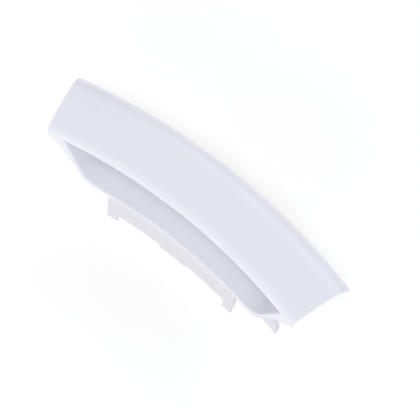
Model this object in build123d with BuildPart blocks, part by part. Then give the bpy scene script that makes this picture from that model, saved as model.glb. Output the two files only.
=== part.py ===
"""Door handle of a front-loading washing machine: one moulded arc with a finger pocket.

Frame: +X runs along the handle, +Y points from the door's centre to its edge and +Z points
out of the door. The origin is in the middle of the seating edge of the outer return wall.
All lengths are in millimetres and all angles in degrees.
"""
from build123d import *
from math import asin, cos, degrees, radians, sin, sqrt, tan
import os

# Arc of the handle about the door's axis
inner_radius = 311.5
outer_radius = 349.2
half_angle = 15.05

# Crowned strap with its front lip and its outer return wall
face_height = 9.4
face_wall = 2.4
crown_radius = 95.0
crown_inset = 18.0
shoulder_width = 12.0
lip_height = 6.0
lip_radius = 3.0
lip_root_chamfer = 1.2
return_wall = 2.2
foot_height = 1.6
foot_radius = 0.4
end_edge_radius = 0.5

# Finger pocket behind the strap
pocket_depth = 38.0
pocket_end_margin = 9.2
pocket_end_slope = 24.4
pocket_corner_radius = 14.0
pocket_root_radius = 12.0
floor_wall = 2.5
back_wall = 2.4
end_wall = 6.3
end_wall_slope = 30.4
end_wall_radius = 8.0
flare_height = 9.0
flare_inset = 0.9
back_corner_radius = 4.0
channel_width = 7.0
rim_radius = 1.1
rim_share = 0.6
wall_edge_radius = 0.8

# Skirt that plugs into the door ring, with two snap tabs and a middle lug
skirt_inset = 14.25
skirt_length = 15.5
skirt_wall = 2.3
tab_width = 6.4
tab_length = 6.6
tab_tip_wall = 0.8
barb_reach = 0.8
barb_height = 2.6
lug_width = 18.0
lug_length = 2.4

# Tongue on the right end wall that hooks under the door ring
tongue_depth = 19.0
tongue_height = 11.5
tongue_reach = 3.25
tongue_wall = 1.8
tongue_radius = 5.0

# Ribs under the strap and gussets behind the skirt
rib_wall = 1.5
rib_setback = 2.0
rib_count = 7
rib_end_margin = 2.6
gusset_count = 4
gusset_reach = 10.0
gusset_height = 8.0
gusset_margin = 1.2

# Places that follow from the sizes above
tolerance = 0.02
seat_radius = outer_radius - return_wall / 2
door_axis = Axis((0, -seat_radius, 0), (0, 0, 1))
back_radius = outer_radius - return_wall - channel_width
back_inside = back_radius - back_wall
shoulder_start = outer_radius - shoulder_width
end_x = inner_radius * sin(radians(half_angle))


def face_level(radius):
    """Height of the crowned face above the seat."""
    off_peak = radius - (inner_radius + crown_inset)
    return face_height - crown_radius + sqrt(crown_radius**2 - off_peak**2)


def section_at(angle):
    """Upright plane through the door's axis: its X is the radius and its Y the height."""
    turn = radians(angle)
    return Plane(
        origin=(0, -seat_radius, 0),
        x_dir=(sin(turn), cos(turn), 0),
        z_dir=(cos(turn), -sin(turn), 0),
    )


def crown_arc(start_radius, end_radius, below):
    """Arc that follows the crowned face at a depth below it."""
    middle_radius = (start_radius + end_radius) / 2
    return ThreePointArc(
        (start_radius, face_level(start_radius) - below),
        (middle_radius, face_level(middle_radius) - below),
        (end_radius, face_level(end_radius) - below),
    )


def shoulder_arc(end_radius, below):
    """Arc that rolls on from the crown at a depth below it, down to the top of the foot."""
    slope = asin((shoulder_start - inner_radius - crown_inset) / crown_radius)
    start = (shoulder_start, face_level(shoulder_start) - below)
    return TangentArc(start, (end_radius, foot_height), tangent=(cos(slope), -sin(slope)))


def round_corner(sketch, across, up, radius):
    """Round the corner of a sketch that lies nearest to a place."""
    fillet(sketch.vertices().sort_by_distance((across, up))[0], radius)


def radius_of(point):
    """Distance of a point from the door's axis."""
    return sqrt(point.X**2 + (point.Y + seat_radius) ** 2)


def back_corners(builder, root_start):
    """Short edges at both ends of the back wall, from its top down to the pocket's floor."""
    return builder.edges().filter_by(
        lambda edge: abs(edge.center().X) > pocket_end_x(pocket_floor) / 2
        and min(radius_of(vertex) for vertex in edge.vertices()) > root_start - tolerance
    )


def front_edges(builder):
    """Outside edges of both end walls, on the inner cylinder."""

    def borders_the_end(point):
        on_cylinder = abs(radius_of(point) - inner_radius) < tolerance
        return on_cylinder and abs(point.X) > pocket_end_x(point.Z) and point.Z < lip_bottom + tolerance

    return builder.edges().filter_by(lambda edge: borders_the_end(edge @ 0.5))


def back_loop(builder, radius):
    """Edges round a back wall on one radius, below the strap."""

    def borders_the_back(point):
        return abs(radius_of(point) - radius) < tolerance and point.Z < face_height - tolerance

    return builder.edges().filter_by(lambda edge: borders_the_back(edge @ 0.5))


def mouth_edges(builder):
    """Closed loop of edges round the pocket's mouth, on the inner cylinder."""

    def bounds_the_mouth(point):
        on_cylinder = abs(radius_of(point) - inner_radius) < tolerance
        above_floor = point.Z > pocket_floor - tolerance
        below_lip = point.Z < lip_bottom + tolerance
        return on_cylinder and above_floor and below_lip and abs(point.X) < pocket_end_x(point.Z) + tolerance

    samples = (0, 0.25, 0.5, 0.75, 1)
    return builder.edges().filter_by(lambda edge: all(bounds_the_mouth(edge @ part) for part in samples))


lip_top = face_level(inner_radius)
lip_bottom = lip_top - lip_height
pocket_floor = lip_top - pocket_depth
body_floor = pocket_floor - floor_wall
skirt_bottom = body_floor - skirt_length

pocket_top_x = end_x - pocket_end_margin
pocket_end_tan = tan(radians(pocket_end_slope))
body_end_tan = tan(radians(end_wall_slope))


def pocket_end_x(level):
    """Half length of the pocket at one level."""
    return pocket_top_x - (lip_bottom - level) * pocket_end_tan


def body_end_x(level):
    """Half length of the pocket's outside at one level, without its flare."""
    return pocket_top_x + end_wall - (lip_bottom - level) * body_end_tan


skirt_x = body_end_x(body_floor) - skirt_inset

# Strap: a crowned channel section turned about the door's axis
lip_back = inner_radius + face_wall
return_inside = outer_radius - return_wall
with BuildPart() as strap:
    with BuildSketch(section_at(half_angle)) as strap_section:
        with BuildLine():
            crown_arc(inner_radius, shoulder_start, 0)
            shoulder_arc(outer_radius, 0)
            Polyline(
                (outer_radius, foot_height),
                (outer_radius, 0),
                (return_inside, 0),
                (return_inside, foot_height),
            )
            shoulder_arc(return_inside, face_wall)
            crown_arc(lip_back, shoulder_start, face_wall)
            Polyline(
                (lip_back, face_level(lip_back) - face_wall),
                (lip_back, lip_bottom),
                (inner_radius, lip_bottom),
                (inner_radius, lip_top),
            )
        make_face()
        round_corner(strap_section, lip_back, lip_bottom, rim_radius)
        round_corner(strap_section, inner_radius, lip_top, lip_radius)
        round_corner(strap_section, outer_radius, 0, foot_radius)
        round_corner(strap_section, return_inside, 0, foot_radius)
        lip_root = (lip_back, face_level(lip_back) - face_wall)
        chamfer(strap_section.vertices().sort_by_distance(lip_root)[0], lip_root_chamfer)
    revolve(axis=door_axis, revolution_arc=2 * half_angle)
    flat_ends = strap.faces().filter_by(lambda face: abs(face.normal_at().Z) < tolerance).sort_by(Axis.X)
    fillet(flat_ends[0].edges() + flat_ends[-1].edges(), end_edge_radius)

# Pocket body: its turned section, cut to the sloping outline of the end walls
with BuildPart() as pocket_body:
    with BuildSketch(section_at(half_angle)) as body_section:
        with BuildLine():
            crown_arc(lip_back, back_radius, face_wall / 2)
            Polyline(
                (back_radius, face_level(back_radius) - face_wall / 2),
                (back_radius, body_floor),
                (inner_radius, body_floor),
                (inner_radius, lip_bottom + lip_height / 2),
                (lip_back, face_level(lip_back) - face_wall / 2),
            )
        make_face()
        round_corner(body_section, back_radius, body_floor, pocket_root_radius + back_wall)
    revolve(axis=door_axis, revolution_arc=2 * half_angle)
    with BuildSketch(Plane.XZ) as body_outline:
        flare_foot = lip_bottom - flare_height
        flare_top = (end_x - flare_inset, lip_bottom)
        with BuildLine():
            Line((0, body_floor), (body_end_x(body_floor), body_floor))
            wall_line = Line((body_end_x(body_floor), body_floor), (body_end_x(flare_foot), flare_foot))
            TangentArc(wall_line @ 1, flare_top, tangent=wall_line % 1)
            Polyline(flare_top, (end_x - flare_inset, face_height), (0, face_height), (0, body_floor))
        make_face()
        round_corner(body_outline, body_end_x(body_floor), body_floor, end_wall_radius)
        mirror(about=Plane.YZ)
    extrude(amount=outer_radius, both=True, mode=Mode.INTERSECT)
    fillet(back_corners(pocket_body, back_inside - pocket_root_radius), back_corner_radius)
    fillet(front_edges(pocket_body), wall_edge_radius)

# Finger space inside the pocket, rounded all along its back
with BuildPart() as finger_space:
    with BuildSketch(section_at(half_angle)):
        with BuildLine():
            Polyline(
                (inner_radius - face_wall, pocket_floor),
                (back_inside, pocket_floor),
                (back_inside, face_height),
                (inner_radius - face_wall, face_height),
                close=True,
            )
        make_face()
    revolve(axis=door_axis, revolution_arc=2 * half_angle)
    with BuildSketch(Plane.XZ) as space_outline:
        with BuildLine():
            Polyline(
                (-pocket_end_x(pocket_floor), pocket_floor),
                (pocket_end_x(pocket_floor), pocket_floor),
                (pocket_end_x(face_height), face_height),
                (-pocket_end_x(face_height), face_height),
                close=True,
            )
        make_face()
        fillet(space_outline.vertices().group_by(Axis.Y)[0], pocket_corner_radius)
    extrude(amount=outer_radius, both=True, mode=Mode.INTERSECT)
    fillet(back_loop(finger_space, back_inside), pocket_root_radius)

# Skirt below the rim, flush with the pocket's mouth
with BuildPart() as skirt:
    with BuildSketch(section_at(half_angle)):
        with BuildLine():
            Polyline(
                (inner_radius, body_floor + floor_wall / 2),
                (inner_radius + skirt_wall, body_floor + floor_wall / 2),
                (inner_radius + skirt_wall, skirt_bottom - lug_length),
                (inner_radius, skirt_bottom - lug_length),
                close=True,
            )
        make_face()
    revolve(axis=door_axis, revolution_arc=2 * half_angle)
    with BuildSketch(Plane.XZ):
        with BuildLine():
            Polyline(
                (0, body_floor + floor_wall / 2),
                (skirt_x, body_floor + floor_wall / 2),
                (skirt_x, skirt_bottom),
                (lug_width / 2, skirt_bottom),
                (lug_width / 2, skirt_bottom - lug_length),
                (0, skirt_bottom - lug_length),
                close=True,
            )
        make_face()
        mirror(about=Plane.YZ)
    extrude(amount=outer_radius, both=True, mode=Mode.INTERSECT)

# Snap tabs at both ends of the skirt: thinned to the tip, with a barb on the inner side
tab_tip = skirt_bottom - tab_length
with BuildPart() as tabs:
    with BuildSketch(section_at(half_angle)):
        with BuildLine():
            Polyline(
                (inner_radius, body_floor),
                (inner_radius + skirt_wall, body_floor),
                (inner_radius + tab_tip_wall, tab_tip),
                (inner_radius, tab_tip),
                close=True,
            )
        make_face()
    revolve(axis=door_axis, revolution_arc=2 * half_angle)
    with BuildSketch(Plane.XZ):
        tab_x = skirt_x - tab_width
        with BuildLine():
            Polyline(
                (skirt_x, body_floor),
                (skirt_x, tab_tip + barb_reach),
                (skirt_x - barb_reach, tab_tip),
                (tab_x, tab_tip),
                (tab_x - barb_reach, tab_tip + barb_height / 2),
                (tab_x, tab_tip + barb_height),
                (tab_x, body_floor),
                close=True,
            )
        make_face()
        mirror(about=Plane.YZ)
    extrude(amount=outer_radius, both=True, mode=Mode.INTERSECT)

# Tongue: a curved web that stands out of the right end wall at the pocket's mouth
with BuildPart() as tongue:
    tongue_top = lip_top - tongue_depth
    tongue_bottom = tongue_top - tongue_height
    with BuildSketch(section_at(half_angle)):
        with BuildLine():
            Polyline(
                (inner_radius, tongue_bottom),
                (inner_radius + tongue_wall, tongue_bottom),
                (inner_radius + tongue_wall, tongue_top),
                (inner_radius, tongue_top),
                close=True,
            )
        make_face()
    revolve(axis=door_axis, revolution_arc=half_angle)
    with BuildSketch(Plane.XZ) as tongue_outline:
        tongue_x = body_end_x(tongue_top) + tongue_reach
        with BuildLine():
            Polyline(
                (body_end_x(tongue_bottom) - floor_wall, tongue_bottom),
                (tongue_x, tongue_bottom),
                (tongue_x, tongue_top),
                (body_end_x(tongue_top) - floor_wall, tongue_top),
                close=True,
            )
        make_face()
        round_corner(tongue_outline, tongue_x, tongue_top, tongue_radius)
    extrude(amount=outer_radius, both=True, mode=Mode.INTERSECT)

# Ribs that tie the return wall to the pocket, and gussets that brace the skirt
def braces(angles, outline):
    """Upright webs of one outline, at several angles along the arc."""
    with BuildPart() as webs:
        for angle in angles:
            with BuildSketch(section_at(angle)):
                with BuildLine():
                    Polyline(*outline, close=True)
                make_face()
            extrude(amount=rib_wall / 2, both=True)
    return webs.part


def spread_evenly(count, end_angle):
    """Angles from one end to the other, evenly spaced."""
    return [end_angle * (2 * index / (count - 1) - 1) for index in range(count)]


rib_inside = back_radius - back_wall / 2
rib_outside = outer_radius - return_wall / 2
with BuildLine():
    middle_of_shoulder = shoulder_arc(rib_outside, face_wall / 2)
rib_top = [middle_of_shoulder @ part for part in (0.9, 0.7, 0.5, 0.3, 0.1)]
rib_outline = [(rib_inside, rib_setback), (rib_outside, rib_setback)] + rib_top
ribs = braces(spread_evenly(rib_count, half_angle - rib_end_margin), rib_outline)

skirt_back = inner_radius + skirt_wall
gusset_outline = [
    (skirt_back - skirt_wall / 2, body_floor + floor_wall / 2),
    (skirt_back + gusset_reach, body_floor + floor_wall / 2),
    (skirt_back + gusset_reach, body_floor),
    (skirt_back - skirt_wall / 2, body_floor - gusset_height),
]
gusset_end = degrees(asin((skirt_x - gusset_margin) / skirt_back))
gussets = braces(spread_evenly(gusset_count, gusset_end), gusset_outline)

# Handle: strap, hollow pocket, skirt, tabs, tongue and webs as one moulding
with BuildPart() as door_handle:
    add(pocket_body.part)
    add(finger_space.part, mode=Mode.SUBTRACT)
    add(strap.part)
    add(skirt.part)
    add(tabs.part)
    add(tongue.part)
    add(ribs)
    add(gussets)
    wall_beside_floor = body_end_x(pocket_floor) - pocket_end_x(pocket_floor)
    fillet(mouth_edges(door_handle), min(rim_radius, rim_share * wall_beside_floor))

door_handle.part.label = "door_handle"
os.makedirs("parts", exist_ok=True)
export_step(door_handle.part, "parts/door_handle.step")
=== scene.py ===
"""Looks of a washing machine door handle: moulded white plastic on a pale studio floor."""
from math import cos, pi, radians, sin

import bmesh
import bpy
from mathutils import Matrix, Vector


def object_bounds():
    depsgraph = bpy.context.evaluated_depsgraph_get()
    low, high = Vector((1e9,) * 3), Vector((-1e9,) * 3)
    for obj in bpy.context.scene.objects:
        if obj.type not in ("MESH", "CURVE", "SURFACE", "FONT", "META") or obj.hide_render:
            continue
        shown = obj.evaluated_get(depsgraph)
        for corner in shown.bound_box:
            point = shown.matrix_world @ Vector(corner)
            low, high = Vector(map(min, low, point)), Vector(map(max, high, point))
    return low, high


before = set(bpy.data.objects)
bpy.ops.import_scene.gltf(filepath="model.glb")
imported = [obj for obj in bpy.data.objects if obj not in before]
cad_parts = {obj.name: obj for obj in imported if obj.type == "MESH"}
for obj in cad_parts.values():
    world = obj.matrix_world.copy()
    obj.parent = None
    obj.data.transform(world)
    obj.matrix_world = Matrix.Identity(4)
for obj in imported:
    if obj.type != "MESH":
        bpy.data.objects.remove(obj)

bl_info = {
    "name": "Door Handle Looks",
    "version": (1, 0, 0),
    "blender": (4, 5, 0),
    "location": "3D View > Sidebar > Door Handle",
    "description": "Moulded plastic finish and studio for a washing machine door handle",
    "category": "Object",
}

LOWEST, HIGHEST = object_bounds()
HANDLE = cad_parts["door_handle"]


def light_colour(name, description, default):
    """Property for a light's colour, with its strength in it."""
    return bpy.props.FloatVectorProperty(
        name=name,
        description=description,
        subtype="COLOR",
        size=3,
        min=0,
        soft_max=1,
        default=default,
    )


class PlasticSettings(bpy.types.PropertyGroup):
    """Colour and surface of the moulded plastic."""

    colour: bpy.props.FloatVectorProperty(
        name="Plastic Colour",
        description="Colour of the white plastic",
        subtype="COLOR",
        size=3,
        min=0,
        max=1,
        default=(0.882, 0.888, 0.942),
    )
    flow_colour: bpy.props.FloatVectorProperty(
        name="Flow Colour",
        description="Slightly warmer colour where the melt flowed more slowly",
        subtype="COLOR",
        size=3,
        min=0,
        max=1,
        default=(0.874, 0.876, 0.924),
    )
    roughness: bpy.props.FloatProperty(
        name="Roughness",
        description="Roughness of the polished face",
        subtype="FACTOR",
        min=0,
        max=1,
        default=0.25,
    )
    roughness_spread: bpy.props.FloatProperty(
        name="Roughness Spread",
        description="How far the roughness varies over the surface",
        subtype="FACTOR",
        min=0,
        max=0.3,
        default=0.02,
    )
    # painted shade: a darker colour on the skirt, tabs, tongue and all faces turned back or down
    core_painted_shade_colour: bpy.props.FloatVectorProperty(
        name="Core Side Painted Shade Colour",
        description="Duller colour where the unpolished core of the mould shapes the plastic",
        subtype="COLOR",
        size=3,
        min=0,
        max=1,
        default=(0.80, 0.785, 0.82),
    )
    core_roughness: bpy.props.FloatProperty(
        name="Core Side Roughness",
        description="Roughness where the unpolished core of the mould shapes the plastic",
        subtype="FACTOR",
        min=0,
        max=1,
        default=0.5,
    )
    speck_colour: bpy.props.FloatVectorProperty(
        name="Speck Colour",
        description="Colour of the speck near the left end of the face",
        subtype="COLOR",
        size=3,
        min=0,
        max=1,
        default=(0.81, 0.80, 0.86),
    )
    # painted reflection: the lighter colour of a faint streak on the pocket's floor
    painted_reflection_colour: bpy.props.FloatVectorProperty(
        name="Painted Reflection Colour",
        description="Colour of the faint scuff on the pocket's floor",
        subtype="COLOR",
        size=3,
        min=0,
        max=1,
        default=(0.93, 0.93, 0.95),
    )
    grain_size: bpy.props.FloatProperty(
        name="Grain Size",
        description="Size of the fine grain that the mould leaves",
        subtype="DISTANCE",
        unit="LENGTH",
        min=0.0001,
        max=0.01,
        default=0.0006,
    )
    grain_depth: bpy.props.FloatProperty(
        name="Grain Depth",
        description="Depth of the fine grain",
        subtype="DISTANCE",
        unit="LENGTH",
        min=0,
        max=0.001,
        default=0.00001,
    )


class StudioSettings(bpy.types.PropertyGroup):
    """Floor, light and camera."""

    floor_colour: bpy.props.FloatVectorProperty(
        name="Floor Colour",
        description="Colour of the pale floor",
        subtype="COLOR",
        size=3,
        min=0,
        max=1,
        default=(0.97, 0.97, 0.97),
    )
    floor_glow: light_colour(
        "Floor Glow",
        "Light that the floor gives of itself",
        (0.180, 0.174, 0.142),
    )
    floor_size: bpy.props.FloatProperty(
        name="Floor Size",
        description="Length of the floor's sides",
        unit="LENGTH",
        min=0.5,
        default=6.0,
    )
    sky_light: light_colour(
        "Sky Light",
        "Colour and strength of the even light from all round",
        (0.342, 0.333, 0.349),
    )
    over_light: light_colour(
        "Overhead Light",
        "Colour and strength of the light above the right end",
        (0.222, 0.237, 0.225),
    )
    left_light: light_colour(
        "Left Front Light",
        "Colour and strength of the light before the left end",
        (0.042, 0.042, 0.039),
    )
    left_lip_light: light_colour(
        "Left Lip Light",
        "Colour and strength of the low light that runs along the lip",
        (0.050, 0.052, 0.060),
    )
    right_lip_light: light_colour(
        "Right Lip Light",
        "Colour and strength of the low light before the lip",
        (0.104, 0.107, 0.125),
    )
    back_light: light_colour(
        "Back Light",
        "Colour and strength of the low light behind the handle",
        (0.148, 0.155, 0.173),
    )
    back_left_light: light_colour(
        "Left Back Light",
        "Colour and strength of the low light behind the left end",
        (0.081, 0.080, 0.083),
    )
    back_right_light: light_colour(
        "Right Back Light",
        "Colour and strength of the low light behind the right end",
        (0.066, 0.070, 0.087),
    )
    azimuth: bpy.props.FloatProperty(
        name="Camera Azimuth",
        description="Turn of the camera about the handle, from the door's centre",
        subtype="ANGLE",
        unit="ROTATION",
        default=radians(-28.0487),
    )
    elevation: bpy.props.FloatProperty(
        name="Camera Elevation",
        description="Height of the camera above the door's plane",
        subtype="ANGLE",
        unit="ROTATION",
        default=radians(63.7584),
    )
    roll: bpy.props.FloatProperty(
        name="Camera Roll",
        description="Turn of the camera about its own line of sight",
        subtype="ANGLE",
        unit="ROTATION",
        default=radians(-12.7692),
    )
    distance: bpy.props.FloatProperty(
        name="Camera Distance",
        description="Distance from the camera to its aim",
        unit="LENGTH",
        min=0.1,
        default=0.875,
    )
    lens: bpy.props.FloatProperty(
        name="Lens",
        description="Focal length of the camera",
        subtype="DISTANCE_CAMERA",
        unit="CAMERA",
        min=10,
        default=146.99,
    )


def principled_material(name):
    """New material with one Principled BSDF, and that shader node."""
    material = bpy.data.materials.new(name)
    material.use_nodes = True
    return material, material.node_tree.nodes["Principled BSDF"]


def combine(tree, operation, first, second=0.0):
    """One number from two, each of them a socket or a plain number."""
    step = tree.nodes.new("ShaderNodeMath")
    step.operation = operation
    for socket, value in zip(step.inputs, (first, second)):
        if isinstance(value, bpy.types.NodeSocket):
            tree.links.new(value, socket)
        else:
            socket.default_value = value
    return step.outputs["Value"]


def ramp(tree, value, start, end, low=0.0, high=1.0):
    """Number that goes from low at the start to high at the end, and stays there."""
    step = tree.nodes.new("ShaderNodeMapRange")
    step.inputs["From Min"].default_value = start
    step.inputs["From Max"].default_value = end
    step.inputs["To Min"].default_value = low
    step.inputs["To Max"].default_value = high
    tree.links.new(value, step.inputs["Value"])
    return step.outputs["Result"]


def blend(tree, mask, first, second, kind="RGBA"):
    """First where the mask is 0 and second where it is 1."""
    step = tree.nodes.new("ShaderNodeMix")
    step.data_type = kind
    suffix = {"RGBA": "_Color", "FLOAT": "_Float"}[kind]
    sockets = {socket.identifier: socket for socket in step.inputs}
    tree.links.new(mask, sockets["Factor_Float"])
    for letter, value in (("A", first), ("B", second)):
        if isinstance(value, bpy.types.NodeSocket):
            tree.links.new(value, sockets[letter + suffix])
        else:
            sockets[letter + suffix].default_value = value
    return next(socket for socket in step.outputs if socket.identifier == "Result" + suffix)


def spot(tree, place, centre, reach, turn):
    """Mask of a soft oval spot about a point on the handle."""
    local = tree.nodes.new("ShaderNodeMapping")
    local.vector_type = "TEXTURE"
    local.inputs["Location"].default_value = centre
    local.inputs["Rotation"].default_value = (0, 0, radians(turn))
    local.inputs["Scale"].default_value = reach
    tree.links.new(place.outputs["Object"], local.inputs["Vector"])
    length = tree.nodes.new("ShaderNodeVectorMath")
    length.operation = "LENGTH"
    tree.links.new(local.outputs["Vector"], length.inputs["Vector"])
    return ramp(tree, length.outputs["Value"], 1, SPOT_CORE)


RIM_LEVEL = -0.0325
RIM_BLUR = 0.0004
STRAP_BLUR = 0.001
END_WALL_START = 0.0754
END_WALL_LEAN = 0.587
END_WALL_BLUR = 0.0006
FACING_AWAY = (0.35, 0.7)
CLOUDS_PER_METRE = 14
COARSER_GRAIN = 4
REFRACTION = 1.52
SPOT_CORE = 0.3

# centre, half lengths along each axis, turn in degrees
SPECK = ((-0.0689, -0.0220, 0.0093), (0.0013, 0.0006, 0.002), 15)
# painted reflection: two lighter oval spots that together make a faint streak on the pocket's floor
PAINTED_REFLECTIONS = (
    ((0.0187, -0.0312, -0.0303), (0.0055, 0.0006, 0.002), 3),
    ((0.0268, -0.0302, -0.0303), (0.0055, 0.0006, 0.002), 11),
)
PAINTED_REFLECTION_STRENGTH = 0.5


def core_side(tree, place):
    """Mask of what the mould's core shapes: skirt, tabs, tongue and all that faces back or down, where
    the plastic is rougher and a darker colour is painted shade.
    """
    at = tree.nodes.new("ShaderNodeSeparateXYZ")
    tree.links.new(place.outputs["Object"], at.inputs["Vector"])
    facing = tree.nodes.new("ShaderNodeSeparateXYZ")
    tree.links.new(place.outputs["Normal"], facing.inputs["Vector"])
    below_strap = ramp(tree, at.outputs["Z"], 0, -STRAP_BLUR)
    below_rim = ramp(tree, at.outputs["Z"], RIM_LEVEL + RIM_BLUR, RIM_LEVEL - RIM_BLUR)
    half_length = combine(tree, "ABSOLUTE", at.outputs["X"])
    lean = combine(tree, "MULTIPLY", at.outputs["Z"], END_WALL_LEAN)
    along_wall = combine(tree, "SUBTRACT", half_length, lean)
    beyond_walls = ramp(tree, along_wall, END_WALL_START, END_WALL_START + END_WALL_BLUR)
    start, end = FACING_AWAY
    backward = ramp(tree, facing.outputs["Y"], start, end)
    # faces turned down, such as the undersides of the strap and lip, take the darker colour: painted
    # shade under them
    downward = ramp(tree, facing.outputs["Z"], -start, -end)
    hidden = combine(tree, "MAXIMUM", beyond_walls, backward)
    outside = combine(tree, "MULTIPLY", below_strap, hidden)
    low = combine(tree, "MAXIMUM", outside, below_rim)
    return combine(tree, "MAXIMUM", low, downward)


def moulded_plastic(settings):
    """White plastic, polished where it shows, rougher and darker on the core side, where the darker
    colour is painted shade, with a faint speck and a painted reflection streak on the pocket's floor.
    """
    material, shader = principled_material("Moulded White Plastic")
    tree = material.node_tree
    place = tree.nodes.new("ShaderNodeTexCoord")
    core = core_side(tree, place)

    clouds = tree.nodes.new("ShaderNodeTexNoise")
    clouds.inputs["Scale"].default_value = CLOUDS_PER_METRE
    clouds.inputs["Detail"].default_value = 3
    tree.links.new(place.outputs["Object"], clouds.inputs["Vector"])

    speck = spot(tree, place, *SPECK)
    # painted reflection: mask of a faint lighter streak on the pocket's floor
    first, second = [spot(tree, place, *painted_reflection) for painted_reflection in PAINTED_REFLECTIONS]
    painted_reflection = combine(tree, "MULTIPLY", combine(tree, "MAXIMUM", first, second), PAINTED_REFLECTION_STRENGTH)

    colour = blend(tree, clouds.outputs["Fac"], (*settings.colour, 1), (*settings.flow_colour, 1))
    # painted shade: darker colour on the skirt, tabs, tongue and faces turned back or down
    colour = blend(tree, core, colour, (*settings.core_painted_shade_colour, 1))
    colour = blend(tree, speck, colour, (*settings.speck_colour, 1))
    # painted reflection: lighter colour along a streak on the pocket's floor
    colour = blend(tree, painted_reflection, colour, (*settings.painted_reflection_colour, 1))
    tree.links.new(colour, shader.inputs["Base Color"])

    spread = settings.roughness_spread
    smoother, rougher = settings.roughness - spread, settings.roughness + spread
    roughness = ramp(tree, clouds.outputs["Fac"], 0, 1, smoother, rougher)
    roughness = blend(tree, core, roughness, settings.core_roughness, "FLOAT")
    tree.links.new(roughness, shader.inputs["Roughness"])

    grain = tree.nodes.new("ShaderNodeTexNoise")
    grain.inputs["Scale"].default_value = 1 / settings.grain_size
    grain.inputs["Detail"].default_value = 2
    tree.links.new(place.outputs["Object"], grain.inputs["Vector"])
    coarser = ramp(tree, core, 0, 1, 1, COARSER_GRAIN)
    relief = tree.nodes.new("ShaderNodeBump")
    relief.inputs["Distance"].default_value = settings.grain_depth
    tree.links.new(combine(tree, "MULTIPLY", grain.outputs["Fac"], coarser), relief.inputs["Height"])
    tree.links.new(relief.outputs["Normal"], shader.inputs["Normal"])

    shader.inputs["IOR"].default_value = REFRACTION
    return material


class HANDLE_OT_finish(bpy.types.Operator):
    """Give the handle its moulded plastic finish"""

    bl_idname = "door_handle.finish"
    bl_label = "Finish the Handle"
    bl_options = {"REGISTER", "UNDO"}

    def execute(self, context):
        plastic = moulded_plastic(context.scene.door_handle_plastic)
        for slot in HANDLE.material_slots:
            slot.material = plastic
        return {"FINISHED"}


LIGHT_DISTANCE = 1.6
POWER_PER_STRENGTH = 4 * pi * LIGHT_DISTANCE**2
FLOOR_ROUGHNESS = 0.9

# name, tilt from upright, turn about the handle, side length, colour setting
SOFT_LIGHTS = (
    ("Overhead Light", 26, 28, 0.5, "over_light"),
    ("Left Front Light", 32, -35, 0.5, "left_light"),
    ("Left Lip Light", 66, -28, 0.6, "left_lip_light"),
    ("Right Lip Light", 66, 20, 0.6, "right_lip_light"),
    ("Back Light", -60, 0, 1.1, "back_light"),
    ("Left Back Light", -55, 60, 1.0, "back_left_light"),
    ("Right Back Light", -55, -60, 1.0, "back_right_light"),
)


def studio_floor(settings):
    """Pale floor under the handle's lowest point."""
    mesh = bpy.data.meshes.new("Studio Floor")
    plate = bmesh.new()
    bmesh.ops.create_grid(plate, x_segments=1, y_segments=1, size=settings.floor_size / 2)
    bmesh.ops.translate(plate, verts=plate.verts, vec=(0, 0, LOWEST.z))
    plate.to_mesh(mesh)
    plate.free()
    floor = bpy.data.objects.new("Studio.Floor", mesh)
    bpy.context.scene.collection.objects.link(floor)
    material, shader = principled_material("Pale Floor")
    shader.inputs["Base Color"].default_value = (*settings.floor_colour, 1)
    shader.inputs["Roughness"].default_value = FLOOR_ROUGHNESS
    shader.inputs["Emission Color"].default_value = (*settings.floor_glow, 1)
    shader.inputs["Emission Strength"].default_value = 1
    mesh.materials.append(material)
    return floor


def soft_light(name, tilt, turn, size, colour):
    """Square light, tilted from upright towards a turn about the handle."""
    middle = (LOWEST + HIGHEST) / 2
    towards = Vector((sin(tilt) * sin(turn), -sin(tilt) * cos(turn), cos(tilt)))
    light = bpy.data.lights.new(name, "AREA")
    light.shape = "SQUARE"
    light.size = size
    strongest = max(max(colour), 0.001)
    light.color = [part / strongest for part in colour]
    light.energy = POWER_PER_STRENGTH * strongest
    lamp = bpy.data.objects.new(name, light)
    lamp.location = middle + LIGHT_DISTANCE * towards
    lamp.rotation_mode = "QUATERNION"
    lamp.rotation_quaternion = towards.to_track_quat("Z", "Y")
    bpy.context.scene.collection.objects.link(lamp)
    return lamp


def even_sky(colour):
    """World that lights the handle evenly from all round."""
    world = bpy.data.worlds.new("Even Sky")
    world.use_nodes = True
    background = world.node_tree.nodes["Background"]
    background.inputs["Color"].default_value = (*colour, 1)
    background.inputs["Strength"].default_value = 1
    bpy.context.scene.world = world


def camera_axes(settings):
    """Right, up and backward directions of the camera."""
    away = Vector((sin(settings.azimuth), cos(settings.azimuth), 0))
    across = Vector((cos(settings.azimuth), -sin(settings.azimuth), 0))
    upright = Vector((0, 0, 1))
    up = sin(settings.elevation) * away + cos(settings.elevation) * upright
    backward = -cos(settings.elevation) * away + sin(settings.elevation) * upright
    right = cos(settings.roll) * across - sin(settings.roll) * up
    rolled_up = sin(settings.roll) * across + cos(settings.roll) * up
    return right, rolled_up, backward


AIM_FROM_SEAT = Vector((0, -0.01733, 0.00768))
AIM_RIGHT = 0.0023765
AIM_UP = -0.012985


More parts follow.
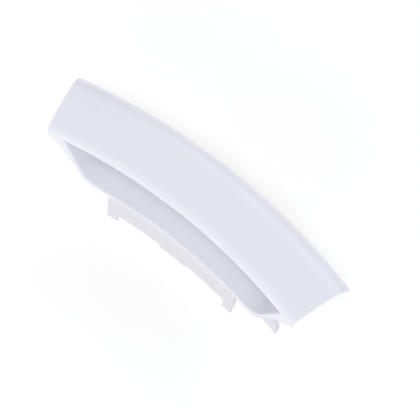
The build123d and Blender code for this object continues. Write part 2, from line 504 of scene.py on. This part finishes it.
def photo_camera(settings):
    """Camera that sees the handle as the photograph does."""
    right, up, backward = camera_axes(settings)
    aim = AIM_FROM_SEAT + AIM_RIGHT * right + AIM_UP * up
    data = bpy.data.cameras.new("Photo Camera")
    data.sensor_width = 36
    data.lens = settings.lens
    data.clip_start = 0.01
    data.clip_end = 50
    camera = bpy.data.objects.new("Photo Camera", data)
    turn = Matrix((right, up, backward)).transposed().to_4x4()
    camera.matrix_world = Matrix.Translation(aim + settings.distance * backward) @ turn
    bpy.context.scene.collection.objects.link(camera)
    bpy.context.scene.camera = camera
    return camera


class HANDLE_OT_stage(bpy.types.Operator):
    """Set the floor, the soft lights and the camera"""

    bl_idname = "door_handle.stage"
    bl_label = "Set the Stage"
    bl_options = {"REGISTER", "UNDO"}

    def execute(self, context):
        settings = context.scene.door_handle_studio
        studio_floor(settings)
        even_sky(settings.sky_light)
        for name, tilt, turn, size, colour in SOFT_LIGHTS:
            soft_light(name, radians(tilt), radians(turn), size, getattr(settings, colour))
        photo_camera(settings)
        context.scene.view_settings.view_transform = "Standard"
        return {"FINISHED"}


class HANDLE_PT_panel(bpy.types.Panel):
    """Sidebar panel with the handle's settings and steps"""

    bl_idname = "HANDLE_PT_panel"
    bl_label = "Door Handle"
    bl_space_type = "VIEW_3D"
    bl_region_type = "UI"
    bl_category = "Door Handle"

    def draw(self, context):
        layout = self.layout
        for settings in (context.scene.door_handle_plastic, context.scene.door_handle_studio):
            box = layout.box()
            for name in settings.bl_rna.properties.keys():
                if name not in ("rna_type", "name"):
                    box.prop(settings, name)
        layout.operator(HANDLE_OT_finish.bl_idname)
        layout.operator(HANDLE_OT_stage.bl_idname)


CLASSES = (PlasticSettings, StudioSettings, HANDLE_OT_finish, HANDLE_OT_stage, HANDLE_PT_panel)


def register():
    for each in CLASSES:
        bpy.utils.register_class(each)
    bpy.types.Scene.door_handle_plastic = bpy.props.PointerProperty(type=PlasticSettings)
    bpy.types.Scene.door_handle_studio = bpy.props.PointerProperty(type=StudioSettings)


def unregister():
    del bpy.types.Scene.door_handle_studio
    del bpy.types.Scene.door_handle_plastic
    for each in reversed(CLASSES):
        bpy.utils.unregister_class(each)


def main():
    """Dress the handle and set the stage."""
    register()
    bpy.ops.door_handle.finish()
    bpy.ops.door_handle.stage()


if __name__ == "__main__":
    main()
